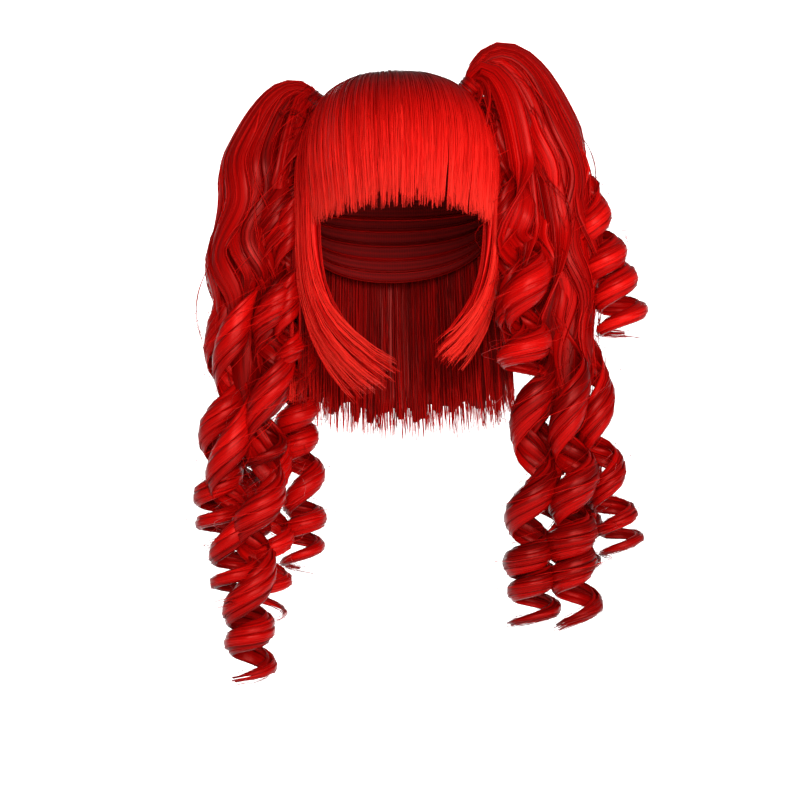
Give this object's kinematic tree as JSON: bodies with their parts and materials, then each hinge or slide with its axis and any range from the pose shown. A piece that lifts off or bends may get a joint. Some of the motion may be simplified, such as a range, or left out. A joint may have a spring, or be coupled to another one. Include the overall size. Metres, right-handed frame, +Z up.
{
  "type": "long curly wig",
  "caption": "Synthetic wig with a straight fringed bob on a stretch cap and clip-on ringlet ponytails high on both sides; worn on a head that fills the open cap.",
  "frame": {"origin": "top of the head's crown, on the inside of the cap", "axes": "+Z up along the head, -Y towards the front where the face looks out, +X towards the wearer's left"},
  "size_m": [0.3433, 0.1993, 0.4796],
  "materials": {
    "hair_fibre": "glossy heat-set red fibre",
    "cap_net": "dark red stretch net",
    "clasp_plastic": "glossy red"
  },
  "bodies": {
    "root": {"cap": "cap_net", "fringe": "hair_fibre", "side_lock_left": "hair_fibre", "side_lock_right": "hair_fibre", "back_hair": "hair_fibre", "clasp_left": "clasp_plastic", "clasp_right": "clasp_plastic", "ponytail_left": "hair_fibre", "ponytail_right": "hair_fibre"}
  },
  "joints": []
}
